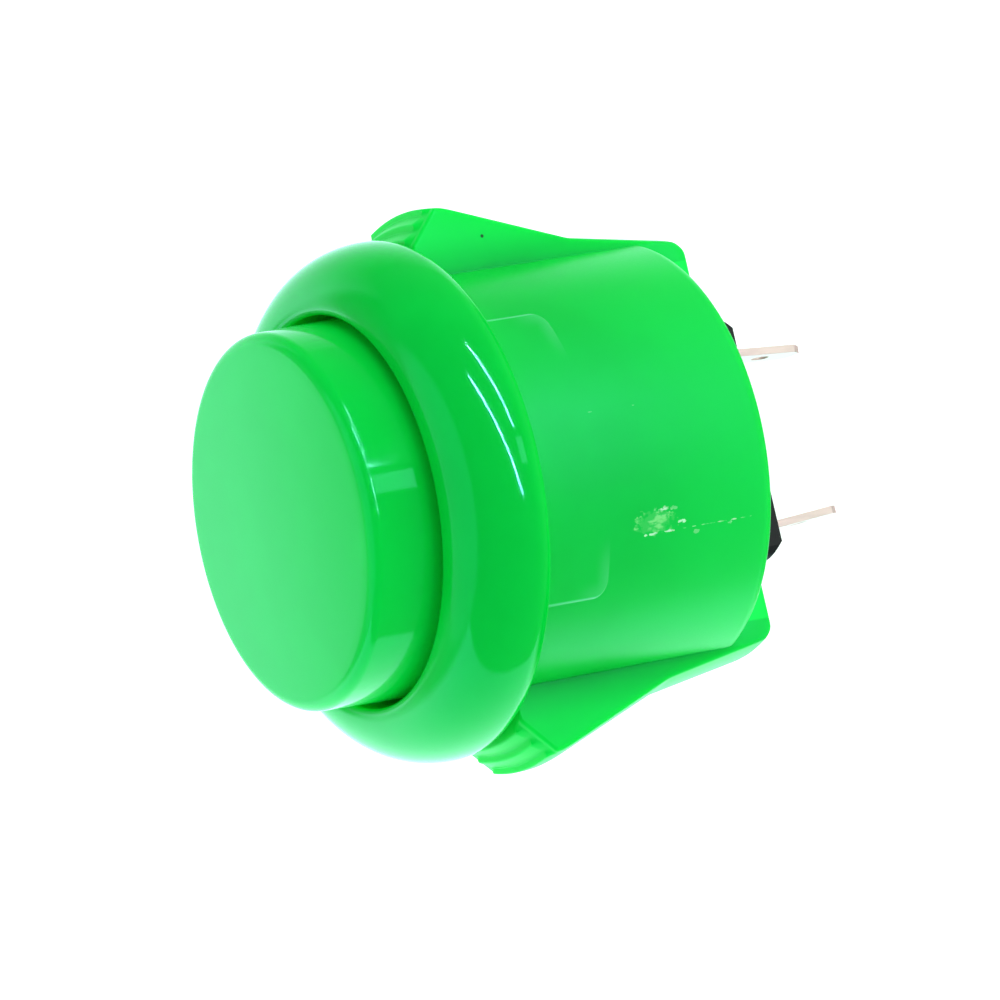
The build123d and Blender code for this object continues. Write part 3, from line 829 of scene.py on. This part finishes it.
def pad_painted_highlight(n):
    """Painted highlights: a light line along the sides of the two pads and a painted sheen at their rear
    corners.
    """
    sideways = n.math("ABSOLUTE", n.along(TOWARDS_WING))
    depth = n.along(TOWARDS_REAR)
    across = n.math("SUBTRACT", sideways, PAD_SPAN / 2 - PAD_CORNER)
    down = n.math("SUBTRACT", depth, PAD_DEPTH - PAD_CORNER)
    corner = n.hypot(n.math("MAXIMUM", across, 0.0), n.math("MAXIMUM", down, 0.0))
    within = n.math("MINIMUM", n.math("MAXIMUM", across, down), 0.0)
    outside = n.math("SUBTRACT", n.math("ADD", corner, within), PAD_CORNER)
    line = n.math("MULTIPLY", n.ramp(n.math("ABSOLUTE", outside), PAD_HIGHLIGHT_LINE, 0.0, 0.0, PAD_HIGHLIGHT_LINE_TONE),
                  n.ramp(depth, PAD_DEPTH, PAD_DEPTH - PAD_CORNER))
    sheen = n.math("MULTIPLY", n.ramp(outside, -PAD_PAINTED_SHEEN, 0.0), n.ramp(outside, PAD_HIGHLIGHT_LINE, 0.0))
    rear_corner = n.math("MULTIPLY", n.ramp(depth, PAD_DEPTH / 2, PAD_DEPTH, 0.0, PAD_PAINTED_SHEEN_TONE),
                         n.ramp(sideways, PAD_SPAN / 2 - PAD_PAINTED_SHEEN_REACH, PAD_SPAN / 2 - PAD_CORNER))
    painted_highlight = n.math("MAXIMUM", line, n.math("MULTIPLY", sheen, rear_corner))
    return n.math("MULTIPLY", painted_highlight, n.ramp(depth, 0.0, PAD_HIGHLIGHT_LINE))


def speck(n, point):
    """Where a small dark grain lies on the surface."""
    gap = n.vector("DISTANCE", n.place(), Vector(point) * MM, "Value")
    return n.ramp(gap, SPECK_SIZE * MM, SPECK_CORE * SPECK_SIZE * MM)


def housing_green():
    n = Surface("housing_green")
    satin = n.ramp(n.along(TOWARDS_FINGER), *SATIN_EDGE)
    outwards = n.math("MULTIPLY", n.math("ABSOLUTE", n.along(TOWARDS_WING)), satin)
    grain = n.noise(GRAIN_SCALE, 3.0)
    strokes = n.ramp(n.noise(STROKE_SCALE, 3.0, 0.55, STROKE_STRETCH), *STROKE_SPAN)
    colour = n.mix(n.ramp(n.noise(HOUSING_TONE_SCALE), *TONE_SPAN), GREEN_DEEP, GREEN)
    # Painted light: the wings and the barrel's rear edge are painted lighter, as if lit through the thin
    # plastic from behind
    rear = n.ramp(n.along(TOWARDS_REAR), PAD_DEPTH, BARREL_DEPTH, 0.0, REAR_PAINTED_BACKLIGHT)
    colour = n.mix(n.math("MAXIMUM", n.ramp(outwards, *WING_PAINTED_BACKLIGHT), rear), colour, GREEN_PAINTED_BACKLIGHT)
    # Painted light: the bore's wall is painted lighter, standing in for light in the gap round the plunger
    colour = n.mix(n.ramp(n.from_axis(), BORE_RADIUS + BORE_PAINTED_LIGHT_FADE, BORE_RADIUS), colour, GREEN_PAINTED_GAP_LIGHT)
    worn = barrel_mark(n, *SCUFF, SCUFF_RAGGED)
    colour = n.mix(n.math("MULTIPLY", worn, n.ramp(strokes, 0.0, 1.0, *SCUFF_TONE)), colour, GREEN_SCUFFED)
    # Painted highlights along the pads' sides and at their rear corners
    colour = n.mix(pad_painted_highlight(n), colour, GREEN_PAINTED_HIGHLIGHT)
    for chip in CHIPS:
        mark = n.math("MULTIPLY", barrel_mark(n, *chip, CHIP_RAGGED), n.ramp(strokes, 0.0, 1.0, *CHIP_TONE))
        colour = n.mix(mark, colour, GREEN_CHIPPED)
        worn = n.math("MAXIMUM", worn, mark)
    for point in SPECKS:
        colour = n.mix(speck(n, point), colour, SPECK)
    rough = n.ramp(satin, 0.0, 1.0, RIM_ROUGHNESS, BARREL_ROUGHNESS)
    rough = n.math("ADD", rough, n.ramp(grain, *NOISE_SPAN, -GRAIN_ROUGHNESS, GRAIN_ROUGHNESS))
    rough = n.math("ADD", rough, n.math("MULTIPLY", worn, WORN_ROUGHNESS))
    specular = n.ramp(n.ramp(outwards, *WING_EDGE), 0.0, 1.0, MOULDED_SPECULAR, WING_SPECULAR)
    normal = n.bump(grain, n.math("MULTIPLY", satin, GRAIN_STRENGTH), GRAIN_DEPTH)
    normal = n.bump(strokes, n.math("MULTIPLY", worn, WORN_STRENGTH), WORN_DEPTH, normal)
    return n.finish(base_color=colour, roughness=rough, normal=normal, specular_tint=GLOSS,
                    specular_ior_level=specular, **TRANSLUCENT)


def plunger_green():
    n = Surface("plunger_green")
    colour = n.mix(n.ramp(n.noise(PLUNGER_TONE_SCALE), *TONE_SPAN), PLUNGER_DEEP, PLUNGER_GREEN)
    # Painted light: the plunger's side below the bore's mouth is painted lighter, standing in for light in
    # the gap
    gap_painted_light = n.ramp(n.along(TOWARDS_FINGER), BORE_MOUTH_HEIGHT, BORE_MOUTH_HEIGHT - GAP_PAINTED_LIGHT_FADE)
    colour = n.mix(gap_painted_light, colour, GREEN_PAINTED_GAP_LIGHT)
    rough = n.ramp(n.noise(PLUNGER_HAZE_SCALE, 3.0), *NOISE_SPAN, *PLUNGER_ROUGHNESS)
    return n.finish(base_color=colour, roughness=rough, specular_tint=GLOSS, **TRANSLUCENT)


def darker(colour, share):
    return tuple(c * share for c in colour[:3]) + (1.0,)


def moulded(name, colour, specular=MOULDED_SPECULAR):
    n = Surface(name)
    grain = n.noise(SWITCH_GRAIN_SCALE, 3.0)
    tone = n.mix(grain, darker(colour, SWITCH_SHADE), colour)
    rough = n.ramp(grain, *NOISE_SPAN, SWITCH_ROUGHNESS - SWITCH_UNEVEN, SWITCH_ROUGHNESS + SWITCH_UNEVEN)
    normal = n.bump(grain, SWITCH_GRAIN_STRENGTH, GRAIN_DEPTH)
    return n.finish(base_color=tone, roughness=rough, normal=normal, specular_ior_level=specular)


def metal(name, colour, roughness, stretch=EVEN, metallic=1.0):
    n = Surface(name)
    streak = n.noise(STREAK_SCALE, 4.0, 0.6, stretch)
    tone = n.mix(streak, darker(colour, METAL_SHADE), colour)
    rough = n.ramp(streak, *NOISE_SPAN, roughness - METAL_UNEVEN, roughness + METAL_UNEVEN)
    normal = n.bump(streak, STREAK_STRENGTH, STREAK_DEPTH)
    return n.finish(base_color=tone, roughness=rough, normal=normal, metallic=metallic)


def dress(obj, material):
    obj.data.materials.clear()
    obj.data.materials.append(material)


def dress_cad_nodes():
    nodes = frame["nodes"]
    black = moulded("switch_black", BLACK, SWITCH_SPECULAR)
    copper = metal("terminal_copper", COPPER, STRIP_ROUGHNESS, ROLLED, STRIP_METALLIC)
    silver = metal("contact_silver", SILVER, CONTACT_ROUGHNESS)
    for name in ("switch_base", "switch_cover"):
        dress(nodes[name], black)
        soften(nodes[name], MOULDED_BEVEL)
    dress(nodes["switch_actuator"], moulded("actuator_natural", NATURAL))
    for name in ("contact_bridge", "terminal_1", "terminal_2"):
        dress(nodes[name], copper)
        soften(nodes[name], STRIP_BEVEL)
    for name in ("moving_contact_1", "moving_contact_2", "fixed_contact_1", "fixed_contact_2"):
        dress(nodes[name], silver)


# Studio

def floor():
    half = FLOOR_SIZE / 2
    corners = [(-half, -half), (half, -half), (half, half), (-half, half)]
    obj = mesh_object("floor", [(x, y, FLOOR_HEIGHT) for x, y in corners], [[0, 1, 2, 3]])
    n = Surface("floor_paper")
    dress(obj, n.finish(base_color=PAPER, roughness=FLOOR_ROUGHNESS, emission_color=WHITE,
                        emission_strength=FLOOR_GLOW))
    obj.visible_glossy = False
    obj.visible_shadow = False


def sheet_shape(n, x, y):
    """1 behind the sheet's leaning and bent front edge, and 0 before it."""
    leaning = n.math("MULTIPLY_ADD", y, SHEET_LEAN, x)
    forward = n.math("MULTIPLY_ADD", n.math("ABSOLUTE", y), SHEET_BEND, leaning)
    return n.ramp(forward, SHEET_EDGE, -SHEET_EDGE)


def sheet_light(n, y, z):
    """How bright the sheet is at a place."""
    above = n.math("SUBTRACT", y, SHEET_BRIGHTEST)
    full = n.math("MULTIPLY_ADD", n.math("MULTIPLY", above, above), -SHEET_FALL, SHEET_LIGHT)
    tilted = n.math("MULTIPLY_ADD", n.math("MINIMUM", y, 0.0), SHEET_TOP_TILT, z)
    top = n.ramp(tilted, SHEET_TOP - SHEET_FADE, SHEET_TOP + SHEET_FADE, 1.0, SHEET_FADED)
    bottom = n.ramp(z, SHEET_BOTTOM - SHEET_FADE, SHEET_BOTTOM + SHEET_FADE)
    return n.math("MULTIPLY", full, n.math("MULTIPLY", top, bottom))


def world():
    """White sheet round the object's far side, light before its face, a dim room and a white background."""
    made = bpy.data.worlds.new("studio")
    made.use_nodes = True
    n = Nodes(made.node_tree)
    direction = n.node("ShaderNodeTexCoord", output="Generated")
    x, y, z = [n.node("ShaderNodeSeparateXYZ", {0: direction}, axis) for axis in "XYZ"]
    around = n.blend(sheet_shape(n, x, y), ROOM_LIGHT, sheet_light(n, y, z))
    level = n.math("MAXIMUM", around, n.ramp(z, *CEILING_EDGE, 0.0, CEILING_LIGHT))
    seen = n.node("ShaderNodeLightPath", output="Is Camera Ray")
    background = n.tree.nodes["Background"]
    n.put(background.inputs["Strength"], n.blend(seen, level, 1.0))
    n.put(background.inputs["Color"], n.mix(seen, SHEET_TINT, WHITE))
    bpy.context.scene.world = made


def lamp(name, place, along, length, width, power):
    """Lit rectangle that faces the object, with its long side along a direction."""
    data = bpy.data.lights.new(name, "AREA")
    data.shape = "RECTANGLE"
    data.size = length * MM
    data.size_y = width * MM
    data.energy = power
    obj = bpy.data.objects.new(name, data)
    back = place.normalized()
    side = back.cross(along).normalized()
    turn = Matrix((side.cross(back), side, back)).transposed().to_4x4()
    obj.matrix_world = Matrix.Translation(place * MM) @ turn
    obj.visible_camera = False
    bpy.context.scene.collection.objects.link(obj)
    return obj


def square_lamp(name, direction, size, power):
    place = Vector(direction).normalized() * LAMP_DISTANCE
    return lamp(name, place, Vector(TOWARDS_WING), size, size, power)


def lamps():
    for name, start, end, power in TUBES:
        first = Vector(start).normalized() * LAMP_DISTANCE
        last = Vector(end).normalized() * LAMP_DISTANCE
        tube = lamp(name, (first + last) / 2, last - first, (last - first).length, TUBE_WIDTH, power)
        tube.visible_diffuse = False
    for name, direction, size, power in SOFT_LIGHTS:
        square_lamp(name, direction, size, power).visible_glossy = False
    square_lamp("patch", PATCH_PLACE, PATCH_SIZE, PATCH_POWER).visible_diffuse = False


def camera():
    data = bpy.data.cameras.new("camera")
    data.lens = CAMERA_LENS
    data.sensor_width = CAMERA_SENSOR
    data.clip_start = CAMERA_NEAR * MM
    obj = bpy.data.objects.new("camera", data)
    back = (Vector(CAMERA_PLACE) - Vector(CAMERA_AIM)).normalized()
    right = Vector(CAMERA_UP).cross(back).normalized()
    up = back.cross(right)
    turn = Matrix((right, up, back)).transposed().to_4x4()
    obj.matrix_world = Matrix.Translation(Vector(CAMERA_PLACE) * MM) @ turn
    bpy.context.scene.collection.objects.link(obj)
    bpy.context.scene.camera = obj


def main():
    dress(housing(), housing_green())
    dress(plunger(), plunger_green())
    steel = metal("spring_wire", STEEL, WIRE_ROUGHNESS)
    for piece in springs():
        dress(piece, steel)
    dress_cad_nodes()
    floor()
    world()
    camera()
    lamps()
    bpy.context.scene.view_settings.view_transform = "Standard"


main()
